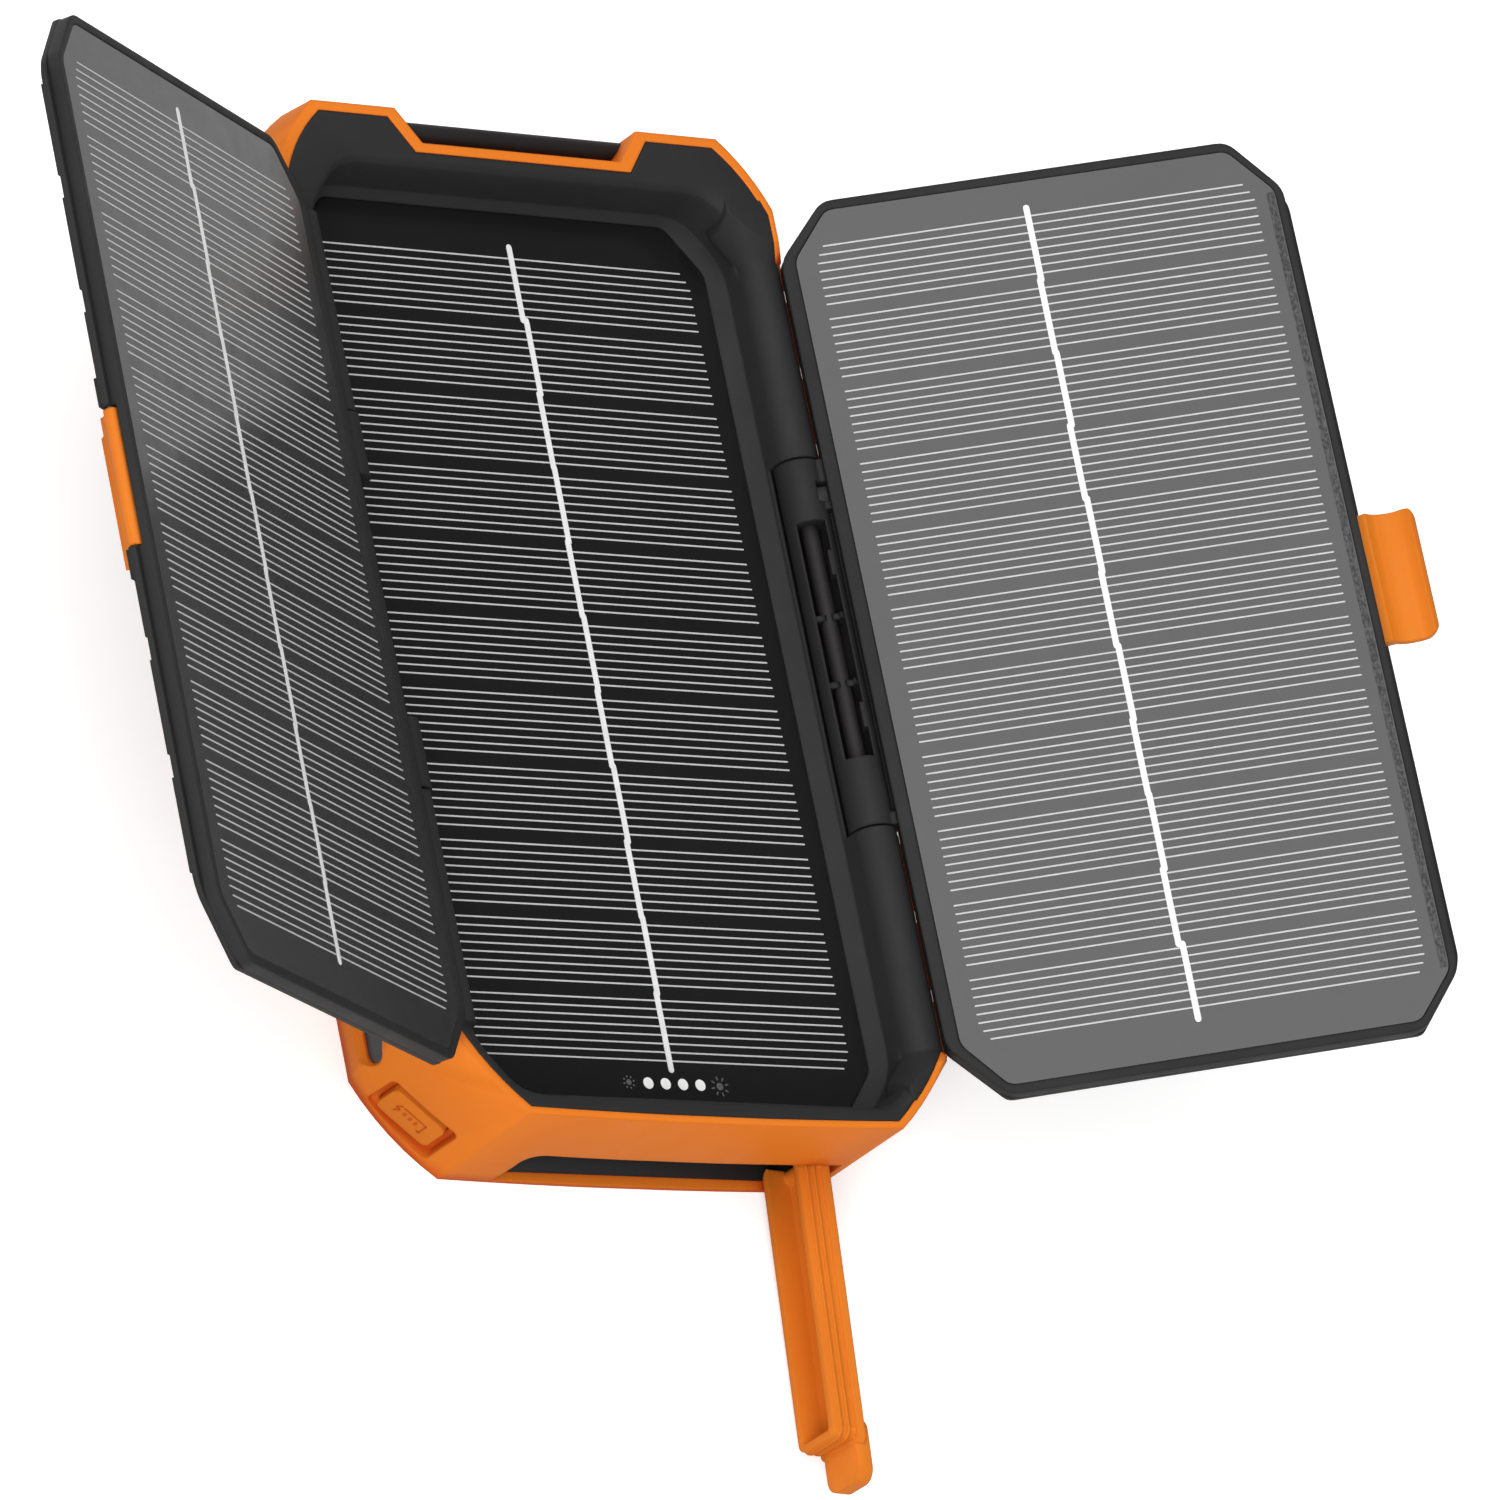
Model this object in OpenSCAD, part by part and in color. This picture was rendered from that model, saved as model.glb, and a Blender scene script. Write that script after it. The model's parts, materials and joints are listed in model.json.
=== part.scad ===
// Folding solar power bank: a bumpered battery case with a solar panel in its tray,
// two hinged solar wings with latch clips, and a rubber flap over the charging ports.
// Frame: origin at the centre of the flat back, +Z up through the panel, +Y to the lanyard end.

/* [Case] */
// Half width of the case at its flat back
back_half_w = 48; // [47.5:0.5:49]
// Half width of the case where its sides bulge most
bulge_half_w = 51.4; // [51:0.1:52]
// Half length from the centre to the port end of the back
back_half_l = 81.8; // [81.5:0.1:82]
// Height of the rim above the back
case_h = 26; // [26:0.1:26.4]
// Height of the panel face above the back
panel_z = 15.8; // [15.6:0.1:15.9]
// Thickness of each moulded wall
wall = 1.8; // [1.6:0.1:2]

/* [Solar panels] */
// Half width of a wing frame
wing_half_w = 41.2; // [41:0.1:41.3]
// Half length of a wing frame
wing_half_l = 76; // [75:0.5:76]
// Thickness of a wing
wing_t = 4.1; // [4:0.05:4.15]
// Half width of a panel's clear sheet
sheet_half_w = 38.9; // [38:0.1:39]
// Half length of a panel's clear sheet
sheet_half_l = 74.4; // [74:0.1:74.6]
// Number of solar cell strips in a panel
strips = 11; // [9:1:12]

/* [Hinges] */
// Height of the lower (right) wing's hinge axis
right_axis_z = 20; // [20:0.05:20.1]
// Height of the upper (left) wing's hinge axis
left_axis_z = 24.4; // [24.35:0.05:24.5]
// Angle of each wing above flat, as it stands open
wing_rise = 30; // [0:1:60]
// Radius of the hinge pins
hinge_pin_r = 1.4; // [1:0.1:1.5]

/* [Port end] */
// Height of the slot's lower edge
slot_z0 = 1; // [1:0.1:1.4]
// Height of the slot's upper edge
slot_z1 = 11.6; // [11.4:0.1:11.8]
// Angle of the flap from closed, as it hangs open
flap_open = 85.4; // [0:0.1:110]

/* [Hidden] */
$fn = 48;

orange = [0.88, 0.47, 0.16];
black = [0.19, 0.19, 0.2];
cell_grey = [0.25, 0.25, 0.27];
steel = [0.7, 0.7, 0.72];
gap = 0.1;
eps = 0.01;

// Case outline values
bulge_z0 = 7;
bulge_z1 = 19.6;
rim_half_w = 45.4;
rim_end = 80.1;
end_bow = 0.5;
rim_top = 85.1;
border = 1.6;
cavity_half_w = 44.9;
cavity_y0 = -79.2;
cavity_y1 = 80;
floor_z0 = 12.8;
floor_z1 = 14.2;
recess_x0 = -41.4;
recess_x1 = 42.2;
recess_y = 77.1;
ledge_z = panel_z + 1;
plate_z = 24;
rear_t = 2.2;
gasket_t = 0.8;
skirt_z0 = rear_t + gasket_t + gap;
sole_pitch = 10;
sole_w = 2.4;
sole_half_l = 32;
sole_depth = 0.5;
notch_top = 24.6;
notch_foot = 20.5;
notch_y = 79.4;
notch_rise = 5.7;
bar_y = 85.3;
bar_z = 20.6;
bar_r = 1.7;
bar_half_l = 27;
far = 60;
above = 40;

// Hinge values: both knuckles run over the same length of the case
right_axis_x = 45.9;
left_axis_x = -44;
right_arm = 45.1;
left_arm = 44.3;
face_above_axis = 3;
right_knuckle_r = 3.7;
left_knuckle_r = 3.1;
right_ridge_r = 3.7;
left_ridge_r = 2.8;
left_pin_r = hinge_pin_r - 0.2;
ridge_end = 67;
sweep_end = 76.5;
sweep_x = 38;
strip_top = 19.95;
flare_slope = 0.86;
knuckle_y0 = -29;
knuckle_y1 = 33;
window_y0 = -17.6;
window_y1 = 22.5;
window_w = 4.6;
web_y = [-5, 6.3];
lug_y = [-12.6, 13.3];
pin_end = 9;
press = 0.02;
running = 0.05;

// Wing layers, measured back from the face
frame_t = 2.2;
edge_t = 3.1;
outer_w = 40.3;
outer_step = 0.8;
rib_pitch = 18.5;
pad_half_w = 36;
sheet_t = 0.6;
sheet_drop = 0.1;
cell_t = 0.2;
plateau = 0.3;
strip_pitch = 2 * 68.2 / strips;
strip_half_w = 36.4;
strip_gap = 1.1;
cell_shift = 0.6;

// Latch clip values, in a wing's own frame
clip_y = -0.4;
clip_half_l = 10.9;
clip_u = 39.3;
clip_w = -2.9;
clip_barrel_r = 1.15;
clip_pin_r = 0.55;
clip_arc_u = 45.2;
clip_arc_w = 1.9;
clip_arc_r = 4.6;
clip_t = 1.1;
clip_corner = 2;
clip_fold = 155;
clip_room = 0.4;
clip_fold_w = -3.45;
clip_pocket = 14;
catch_x = -44.4;
catch_z = 15.1;
catch_r = 4.2;

// Port slot, flap, button and light values
slot_x0 = -25.6;
slot_x1 = 33.2;
slot_mid_z = (slot_z0 + slot_z1) / 2;
slot_back = -75.8;
flap_x = 29.7;
flap_y = -80.8;
flap_t = 2.6;
flap_pin_r = 0.6;
plug_depth = 4.2;
plug_half_h = 4.7;
plug_wall = 1.25;
plug_end = 45.6;
plug_start = -1.2;
tab_end = 52.2;
block_x0 = -13.6;
block_x1 = 24;
block_half_h = 3.2;
block_y = -78.8;
liner_y = -80.6;
flap_inner = 0.2;
usb_a_x = [-6.6, 7.4];
usb_a_half = [6.55, 2.8];
usb_c_x = 19;
usb_c_half = [4.5, 1.6];
shell_t = 0.35;
board_z0 = 9.8;
board_h = 1.2;
led_x = [for (i = [0:3]) -3.9 + 3.26 * i];
led_y = -71.2;
led_r = 0.93;
button_mid = [-42.9, -75];
button_turn = 228.3;
button_z = 6.5;
button_l = 10.2;
button_h = 6.2;
button_drop = 0.4;
bowl_grow = [3.6, 4.2];
bowl_foot = [2.4, 2.6];
bowl_depth = 1.8;
slot_round = 3.2;
groove_y = 8.5;
groove_pitch = 13.25;
groove_w = 2.9;
groove_slope = 0.5;
groove_depth = 0.55;
button_reach = 6.8;
lens_y = -60.6;
lens_z = 10.6;
lens_l = 13.6;
lens_h = 5.2;
lens_x = -49.2;
boss_xy = [[-30, 70], [0, 70], [30, 70], [-39.2, -44.5], [39.2, -44.5], [34, -68]];
boss_r = 2.6;
case_screw_r = 1.25;
board_screw_xy = [[-22, -48], [22, -48]];

function octagon(hw, hl, cw, cl) = [
    [hw, hl - cl], [hw - cw, hl], [cw - hw, hl], [-hw, hl - cl],
    [-hw, cl - hl], [cw - hw, -hl], [hw - cw, -hl], [hw, cl - hl]];

// Rounds every corner of a convex outline: each becomes a curve that starts reach before it
function softened(pts, reach, n = 4) = [for (i = [0:len(pts) - 1])
    let (p = pts[i],
        before = pts[(i + len(pts) - 1) % len(pts)],
        after = pts[(i + 1) % len(pts)],
        a = p + reach * (before - p) / norm(before - p),
        b = p + reach * (after - p) / norm(after - p))
    for (k = [0:n]) let (t = k / n) (1 - t) * (1 - t) * a + 2 * t * (1 - t) * p + t * t * b];

// A chamfer from a to b that bows out by the given amount
function bowed(a, b, bow, n = 6) = let (d = (b - a) / norm(b - a))
    [for (i = [0:n]) let (t = i / n) a + t * (b - a) + 4 * bow * t * (1 - t) * [d[1], -d[0]]];

function mirrored(pts) = [for (i = [len(pts) - 1:-1:0]) [-pts[i][0], pts[i][1]]];

// Outline of the case from its side, ends and corner sizes, counter-clockwise
function case_outline(hw, y0, y1, foot, shoulder, side0, side1, bow) =
    let (half = concat([for (t = [0.25, 0.5, 0.75]) [foot * t, y0 - end_bow * (1 - t * t)]],
        bowed([foot, y0], [hw, side0], bow), bowed([hw, side1], [shoulder, y1], bow)))
    concat(half, mirrored(half));

function rim_pts(g) =
    case_outline(rim_half_w - g, g - rim_end, rim_top - g, 34.5, 37.5, -67, 74.4, 0.8);

function cavity_pts(g, foot = 33, side = -64) = [
    [foot - g / 2, cavity_y0 + g], [cavity_half_w - g, side], [cavity_half_w - g, 68],
    [34 - g / 2, cavity_y1 - g], [g / 2 - 34, cavity_y1 - g], [g - cavity_half_w, 68],
    [g - cavity_half_w, side], [g / 2 - foot, cavity_y0 + g]];

// The cavity is roomier at its port end beside the panel than below it
function upper_cavity_pts(g) = cavity_pts(g, 35.2, -67);

// Opening of the tray above the panel, with its chamfers kept parallel as it grows
function recess_pts(g) = let (y = recess_y + g, x1 = recess_x1 + g, x0 = recess_x0 - g, c = 0.4 * g)
    softened([[x1, 68.5 + c], [35.2 + c, y], [-34.4 - c, y], [x0, 68.5 + c],
        [x0, -68.5 - c], [-34.4 - c, -y], [35.2 + c, -y], [x1, -68.5 - c]], 4);

function sheet_pts(g, half_l = sheet_half_l) =
    softened(octagon(sheet_half_w - g, half_l - g, 6.3, 7.7), 1.2, 3);

// Outline of a wing frame, which is narrower on its outer side
function wing_pts() = softened(
    [for (p = octagon(wing_half_w, wing_half_l, 8.2, 9.2)) [min(p[0], outer_w), p[1]]], 1.8);

// Outline of a wing's back shell, which steps out along its outer side
function back_pts() = let (pts = octagon(wing_half_w, wing_half_l, 8.2, 9.2), y = pts[0][1])
    softened(concat([[outer_w + outer_step, y - 2.5], [outer_w, y]], [for (i = [1:6]) pts[i]],
        [[outer_w, -y], [outer_w + outer_step, 2.5 - y]]), 1);

module slab(z0, z1, pts) {
    translate([0, 0, z0]) linear_extrude(z1 - z0) polygon(pts);
}

module along_y(y0, y1, r, x = 0, z = 0) {
    translate([x, y1, z]) rotate([90, 0, 0]) cylinder(r = r, h = y1 - y0);
}

module box(lo, hi) {
    translate(lo) cube(hi - lo);
}

module rounded_rect(x, y, r) {
    square([x - 2 * r, y], center = true);
    square([x, y - 2 * r], center = true);
    for (i = [-1, 1], j = [-1, 1]) translate([i * (x / 2 - r), j * (y / 2 - r)]) circle(r);
}

module notch(y0, grow) {
    foot = notch_foot + grow;
    top = notch_top + grow;
    translate([0, 0, -1]) linear_extrude(case_h + 2)
        polygon([[foot, y0], [top, y0 + notch_rise], [top, rim_top + 9],
            [-top, rim_top + 9], [-top, y0 + notch_rise], [-foot, y0]]);
}

// Room for the turning knuckles and for the clip that lands in the left side
module knuckle_room() {
    y0 = knuckle_y0 - 0.4;
    y1 = knuckle_y1 + 0.4;
    along_y(y0, y1, right_knuckle_r + 0.35, right_axis_x, right_axis_z);
    box([right_axis_x, y0, right_axis_z - 0.5], [far, y1, above]);
    box([41, y0, panel_z + 1.8], [right_axis_x, y1, above]);
    along_y(y0, y1, left_knuckle_r + 0.35, left_axis_x, left_axis_z);
    box([-far, y0, left_axis_z - 0.5], [left_axis_x, y1, above]);
    box([left_axis_x, y0, left_axis_z - 2.4], [-40, y1, above]);
    box([-far, clip_y - clip_pocket, catch_z], [recess_x0, clip_y + clip_pocket, above]);
}

// A ridge along y whose ends flare out; the wing's chamfered corners turn clear of them
module flared_ridge(r, x, z) {
    along_y(-ridge_end, ridge_end, r, x, z);
    reach = sweep_end - ridge_end + 1;
    for (s = [-1, 1]) translate([x, s * ridge_end, z]) rotate([-90 * s, 0, 0])
        cylinder(r1 = r, r2 = r + flare_slope * reach, h = reach);
}

// Room above one side of the case, which leaves the flared ridge standing
module side_room(side, g) {
    x = side > 0 ? right_axis_x : left_axis_x;
    z = side > 0 ? right_axis_z : left_axis_z;
    r = side > 0 ? right_ridge_r : left_ridge_r;
    z0 = side > 0 ? strip_top : left_axis_z - 0.4;
    difference() {
        mirror([side > 0 ? 0 : 1, 0, 0]) box([sweep_x, -sweep_end, z0], [far, sweep_end, above]);
        difference() {
            flared_ridge(r, x, z);
            along_y(-ridge_end - eps, ridge_end + eps, r + 2, x, z);
        }
    }
    along_y(-ridge_end - g, ridge_end + g, r + g, x, z);
}

// Space inside the bumper's border above the right side strip
module shoulder_room(g) {
    intersection() {
        hull() {
            slab(bulge_z1, bulge_z1 + eps, case_outline(bulge_half_w - border - g,
                border + g - 81.4, 86.8 - border - g, 31.7, 39.2, -67, 72, 1.5));
            slab(case_h + 1, case_h + 1 + eps, rim_pts(g));
        }
        box([sweep_x, g - sweep_end, strip_top], [far, sweep_end - g, case_h + 1]);
    }
}

// Places a shape on the lower left corner face: local z out, local x down, local y along
module at_button() {
    translate([button_mid[0], button_mid[1], button_z])
        rotate([0, 0, button_turn]) rotate([0, 90, 0]) children();
}

module button_block(grow_l, grow_h, inner, outer) {
    at_button() translate([0, 0, inner]) linear_extrude(outer - inner)
        rounded_rect(button_h + grow_h, button_l + grow_l, 1.2);
}

// Recess with sloping walls that the button stands in
module button_recess() {
    hull() {
        button_block(bowl_grow[0], bowl_grow[1], 1.5, 1.6);
        button_block(bowl_foot[0], bowl_foot[1], -bowl_depth, -bowl_depth + eps);
    }
}

module at_lens(x) {
    translate([x, lens_y, lens_z]) rotate([0, 90, 0]) children();
}

module lens_block(x0, x1, grow) {
    at_lens(x0) linear_extrude(x1 - x0)
        rounded_rect(lens_h + grow, lens_l + grow, (lens_h + grow) / 2 - eps);
}

// Shallow flare in the side of the case around the flashlight
module flashlight_dish() {
    hull() {
        lens_block(lens_x - 0.5, lens_x - 0.4, 0.6);
        lens_block(lens_x - 3.6, lens_x - 3.5, 5.2);
    }
}

module along_x(half_l, r) {
    translate([-half_l, bar_y, bar_z]) rotate([0, 90, 0]) cylinder(r = r, h = 2 * half_l);
}

// Opening for the ports, with one upper corner rounded
module slot_opening() {
    translate([0, -70, 0]) rotate([90, 0, 0]) linear_extrude(20)
        polygon(concat([[slot_x0, slot_z0], [slot_x1, slot_z0], [slot_x1, slot_z1]],
            [for (a = [90:15:180])
                [slot_x0 + slot_round * (1 + cos(a)), slot_z1 + slot_round * (sin(a) - 1)]]));
}

// Upright grooves that part the sides into grip pads
module side_grooves() {
    x = bulge_half_w - groove_depth;
    for (s = [0, 1], i = [-5:4]) mirror([s, 0, 0]) translate([0, groove_y + i * groove_pitch, -1])
        linear_extrude(case_h + 2) polygon([[x, groove_slope], [bulge_half_w, 0], [far, 0],
            [far, groove_w], [bulge_half_w, groove_w], [x, groove_w - groove_slope]]);
}

module bumper() {
    color(orange) difference() {
        hull() {
            slab(0, eps, case_outline(back_half_w, -back_half_l, 84, 35, 38, -66.5, 73, 1.2));
            slab(bulge_z0, bulge_z0 + eps,
                case_outline(bulge_half_w - 0.8, -82, 85.6, 32.5, 39, -66.5, 71, 1.5));
            slab(bulge_z1 - eps, bulge_z1,
                case_outline(bulge_half_w, -81.4, 86.8, 32.5, 40, -67, 72, 1.5));
            slab(case_h - eps, case_h,
                case_outline(rim_half_w + border, -81.3, 86.7, 35, 38.6, -67.6, 75, 0.8));
        }
        slab(-1, plate_z, cavity_pts(0));
        slab(floor_z1, plate_z, upper_cavity_pts(0));
        difference() {
            slab(plate_z - gap, case_h + 1, rim_pts(0));
            notch(notch_y, 0);
        }
        notch(notch_y + border, -border);
        side_room(1, gap);
        side_room(-1, gap);
        shoulder_room(0);
        knuckle_room();
        slot_opening();
        side_grooves();
        button_recess();
        flashlight_dish();
        button_block(0.3, 0.3, -12, 9);
        lens_block(-far, -40, 0.2);
        along_x(bar_half_l, bar_r + press);
        translate([flap_x, flap_y, 0.4]) cylinder(r = flap_pin_r + press, h = slot_z1 + 1.6);
    }
}

module skirt_openings() {
    box([slot_x0 - 0.4, -90, 0], [slot_x1 + 0.4, slot_back, slot_z1 + 0.4]);
    button_block(3.6, 1, -14, 9);
    lens_block(-far, -38, 0.2);
}

// Recess above the panel: upright walls that roll over into the rim
module tray_recess() {
    roll = [[0, 3], [0.35, 1.5], [1.1, 0.55], [2.4, -eps]];
    slab(ledge_z, case_h, recess_pts(0));
    hull() {
        slab(panel_z - eps, panel_z, sheet_pts(-gap, recess_y - 1.7));
        slab(ledge_z, ledge_z + eps, recess_pts(0));
    }
    for (i = [0:2]) hull() {
        slab(case_h - roll[i][1], case_h - roll[i][1] + eps, recess_pts(roll[i][0]));
        slab(case_h - roll[i + 1][1], case_h - roll[i + 1][1] + eps, recess_pts(roll[i + 1][0]));
    }
}

module front_tray() {
    color(black) difference() {
        union() {
            difference() {
                union() {
                    difference() {
                        slab(plate_z, case_h, rim_pts(gap));
                        notch(notch_y - gap, gap);
                    }
                    slab(skirt_z0, plate_z, cavity_pts(gap));
                    slab(floor_z1 + gap, plate_z, upper_cavity_pts(gap));
                }
                slab(skirt_z0 - 1, floor_z0, cavity_pts(gap + wall));
                slab(floor_z1, panel_z, sheet_pts(-gap, recess_y - 1.7));
                tray_recess();
                side_room(1, 0);
                side_room(-1, 0);
            }
            along_y(-ridge_end - eps, ridge_end + eps, right_ridge_r, right_axis_x, right_axis_z);
            along_y(-ridge_end - eps, ridge_end + eps, left_ridge_r, left_axis_x, left_axis_z);
            intersection() {
                flared_ridge(right_ridge_r, right_axis_x, right_axis_z);
                shoulder_room(gap);
                box([sweep_x, -2 * far, strip_top - 1], [far, 2 * far, case_h]);
            }
            for (p = boss_xy) translate([p[0], p[1], skirt_z0]) cylinder(r = boss_r, h = 11 - eps);
            for (p = board_screw_xy)
                translate([p[0], p[1], board_z0 + board_h]) cylinder(r = 2, h = 3);
        }
        knuckle_room();
        skirt_openings();
        along_y(knuckle_y0 - pin_end - 1, knuckle_y1 + pin_end + 1, hinge_pin_r + press,
            right_axis_x, right_axis_z);
        along_y(knuckle_y0 - pin_end - 1, knuckle_y1 + pin_end + 1, left_pin_r + press,
            left_axis_x, left_axis_z);
        for (p = boss_xy) translate([p[0], p[1], 0]) cylinder(r = case_screw_r + press, h = 12);
        for (p = board_screw_xy) translate([p[0], p[1], 0]) cylinder(r = 0.8 + press, h = 13);
        for (x = led_x) translate([x, led_y, 0]) cylinder(r = led_r + gap, h = case_h);
    }
    color(black) clip_catch();
}

// Rounded rail in the left side that the right wing's clip closes over
module clip_catch() {
    y0 = clip_y - clip_pocket + gap;
    y1 = clip_y + clip_pocket - gap;
    intersection() {
        along_y(y0, y1, catch_r, catch_x, catch_z);
        box([-far, y0, catch_z], [recess_x0, y1, case_h]);
    }
}

module rear_cover() {
    color(black) difference() {
        slab(0, rear_t, cavity_pts(gap));
        box([slot_x0 - 0.4, -90, slot_z0], [slot_x1 + 0.4, slot_back, slot_z1]);
        for (p = boss_xy) translate([p[0], p[1], -1]) cylinder(r = case_screw_r + 0.2, h = 5);
        for (p = boss_xy) translate([p[0], p[1], -1]) cylinder(r = 3, h = 2.3);
        for (i = [-5:4]) let (y = (i + 0.5) * sole_pitch)
            box([-sole_half_l, y - sole_w / 2, -1], [sole_half_l, y + sole_w / 2, sole_depth]);
        button_block(3.6, 1, -14, 9);
    }
}

module case_gasket() {
    color([0.12, 0.12, 0.12]) difference() {
        slab(rear_t, rear_t + gasket_t, cavity_pts(gap + 0.1));
        slab(0, 6, cavity_pts(gap + 1.5));
        skirt_openings();
    }
}

module case_screws() {
    color(steel) for (p = boss_xy) translate([p[0], p[1], 0]) difference() {
        union() {
            translate([0, 0, 0.2]) cylinder(r = 2.7, h = 1.1);
            cylinder(r = case_screw_r, h = 10);
        }
        translate([0, 0, -1]) cylinder(r = 1.3, h = 1.9, $fn = 6);
    }
}

module panel_board(z0, z1, half_l) {
    color([0.1, 0.1, 0.11]) slab(z0, z1, sheet_pts(0.6, half_l));
}

module panel_cells(z0, z1) {
    color(cell_grey) for (i = [0:strips - 1]) {
        y = cell_shift + (i - (strips - 1) / 2) * strip_pitch;
        half = (strip_pitch - strip_gap) / 2;
        box([-strip_half_w, y - half, z0], [strip_half_w, y + half, z1]);
    }
}

module panel_sheet(z0, z1, half_l) {
    color([0.4, 0.4, 0.42, 0.5]) slab(z0, z1, sheet_pts(0, half_l));
}

module led_holes() {
    for (x = led_x) translate([x, led_y, 0]) cylinder(r = led_r + 0.05, h = case_h);
}

module center_panel_board() {
    difference() {
        panel_board(floor_z1, panel_z - sheet_t - cell_t, recess_y - 1.8);
        led_holes();
    }
}

module center_panel_cells() {
    panel_cells(panel_z - sheet_t - cell_t, panel_z - sheet_t);
}

module center_panel_sheet() {
    difference() {
        panel_sheet(panel_z - sheet_t, panel_z, recess_y - 1.8);
        led_holes();
    }
}

module battery_cells() {
    color([0.6, 0.62, 0.66]) for (s = [-1, 1])
        translate([s * 19.9, 8, 7.4]) rotate([90, 0, 0]) linear_extrude(96, center = true)
            rounded_rect(38, 8, 2);
}

module battery_foam() {
    color([0.3, 0.3, 0.3]) for (s = [-1, 1], y = [-30, 42])
        box([s * 19.9 - 15, y, rear_t], [s * 19.9 + 15, y + 8, 3.4]);
}

module main_board() {
    color([0.1, 0.35, 0.2]) difference() {
        box([-25, -76, board_z0], [29, -44, board_z0 + board_h]);
        for (p = board_screw_xy) translate([p[0], p[1], 0]) cylinder(r = 1, h = 20);
    }
}

module board_screws() {
    color(steel) for (p = board_screw_xy) translate([p[0], p[1], board_z0 - 0.8]) {
        cylinder(r = 1.6, h = 0.8);
        cylinder(r = 0.8, h = 3.6);
    }
}

module battery_leads() {
    color([0.7, 0.1, 0.1]) for (x = [-6, 6])
        along_y(-44, -40.2, 0.8, x, board_z0 - 1);
    color([0.7, 0.1, 0.1]) for (x = [-6, 6])
        box([x - 1, -48, board_z0 - 1.8], [x + 1, -44, board_z0]);
}

// Block the size of a socket's mouth, grown by the given amount all round
module socket_block(x, half, grow, y0, y1) {
    box([x - half[0] - grow, y0, slot_mid_z - half[1] - grow],
        [x + half[0] + grow, y1, slot_mid_z + half[1] + grow]);
}

module usb_a_window(x) {
    socket_block(x, usb_a_half, 0.05, -90, -60);
}

module port_panel() {
    color(black) difference() {
        union() {
            box([block_x0, block_y, slot_mid_z - block_half_h],
                [block_x1, slot_back + 1, slot_mid_z + block_half_h]);
            box([slot_x0, slot_back, 3.3], [slot_x1 - 2, slot_back + 1.5, board_z0 - 0.1]);
            box([slot_x0 + gap, liner_y, slot_z0 + 0.03], [slot_x1 - gap, slot_back - 0.05, slot_z0 + 0.2]);
            box([block_x0, slot_back - 0.5, slot_z0 + gap], [block_x1, slot_back - 0.05, slot_mid_z]);
        }
        translate([flap_x, flap_y, 0]) cylinder(r = flap_t / 2 + 0.1, h = slot_mid_z);
        for (x = usb_a_x) usb_a_window(x);
        socket_block(usb_c_x, usb_c_half, 0.1, -90, -60);
    }
}

module usb_a_sockets() {
    color(steel) for (x = usb_a_x) difference() {
        socket_block(x, usb_a_half, 0, block_y + 0.2, -66);
        socket_block(x, usb_a_half, -shell_t, -90, -67);
    }
    color("white") for (x = usb_a_x)
        box([x - 5.6, block_y + 1, slot_mid_z + 0.3], [x + 5.6, -67, slot_mid_z + 2.1]);
}

module usb_c_socket() {
    color(steel) difference() {
        socket_block(usb_c_x, usb_c_half, 0, block_y + 0.2, -72);
        socket_block(usb_c_x, usb_c_half, -shell_t, -90, -73);
    }
    color(black) box([usb_c_x - 3.3, block_y + 1, slot_mid_z - 0.35],
        [usb_c_x + 3.3, -73, slot_mid_z + 0.35]);
}

module status_leds() {
    color("white") for (x = led_x)
        box([x - 0.8, led_y - 0.8, board_z0 + board_h], [x + 0.8, led_y + 0.8, board_z0 + board_h + 0.5]);
}

module status_light_pipe() {
    color([0.95, 0.95, 0.95]) {
        box([led_x[0] - 1.6, led_y - 1.6, 11.6], [led_x[3] + 1.6, led_y + 1.6, floor_z0]);
        for (x = led_x) translate([x, led_y, floor_z0 - eps])
            cylinder(r = led_r, h = panel_z - floor_z0 + eps);
    }
}

module flashlight_lens() {
    color([0.75, 0.75, 0.78, 0.5]) lens_block(lens_x, lens_x + 1.4, 0);
}

module flashlight_reflector() {
    color([0.85, 0.85, 0.87]) difference() {
        lens_block(lens_x + 1.5, -43.3, -2);
        for (y = [-2.8, 2.8]) translate([0, y, 0])
            at_lens(lens_x + 1) cylinder(r1 = 1.5, r2 = 0.95, h = 8);
    }
}

module flashlight_led() {
    color([0.9, 0.9, 0.6]) lens_block(-43.2, -42.4, -2.4);
    color([0.9, 0.9, 0.6]) for (y = [-2.8, 2.8]) translate([0, y, 0])
        at_lens(-43.9) cylinder(r = 0.9, h = 0.8);
}

module button_switch() {
    color(steel) button_block(-3.4, -0.6, -12.4, -8.6);
    color(black) at_button() translate([0, 0, -8.6]) cylinder(r = 1.2, h = 0.25);
}

module power_button() {
    color(orange) {
        button_block(0, 0, -button_reach, -button_drop);
        button_block(1.4, 0, -button_reach - 0.9, -button_reach);
    }
}

module lanyard_bar() {
    color([0.15, 0.14, 0.14]) along_x(bar_half_l - 0.1, bar_r);
}

module right_hinge_pin() {
    color(steel) along_y(knuckle_y0 - pin_end, knuckle_y1 + pin_end, hinge_pin_r,
        right_axis_x, right_axis_z);
}

module left_hinge_pins() {
    color(steel) {
        along_y(knuckle_y0 - pin_end, window_y0 - 0.6, left_pin_r, left_axis_x, left_axis_z);
        along_y(window_y1 + 0.6, knuckle_y1 + pin_end, left_pin_r, left_axis_x, left_axis_z);
    }
}

module flap_pin() {
    color(steel) translate([flap_x, flap_y, 0.5]) cylinder(r = flap_pin_r, h = slot_z1 + 1.4);
}

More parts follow.
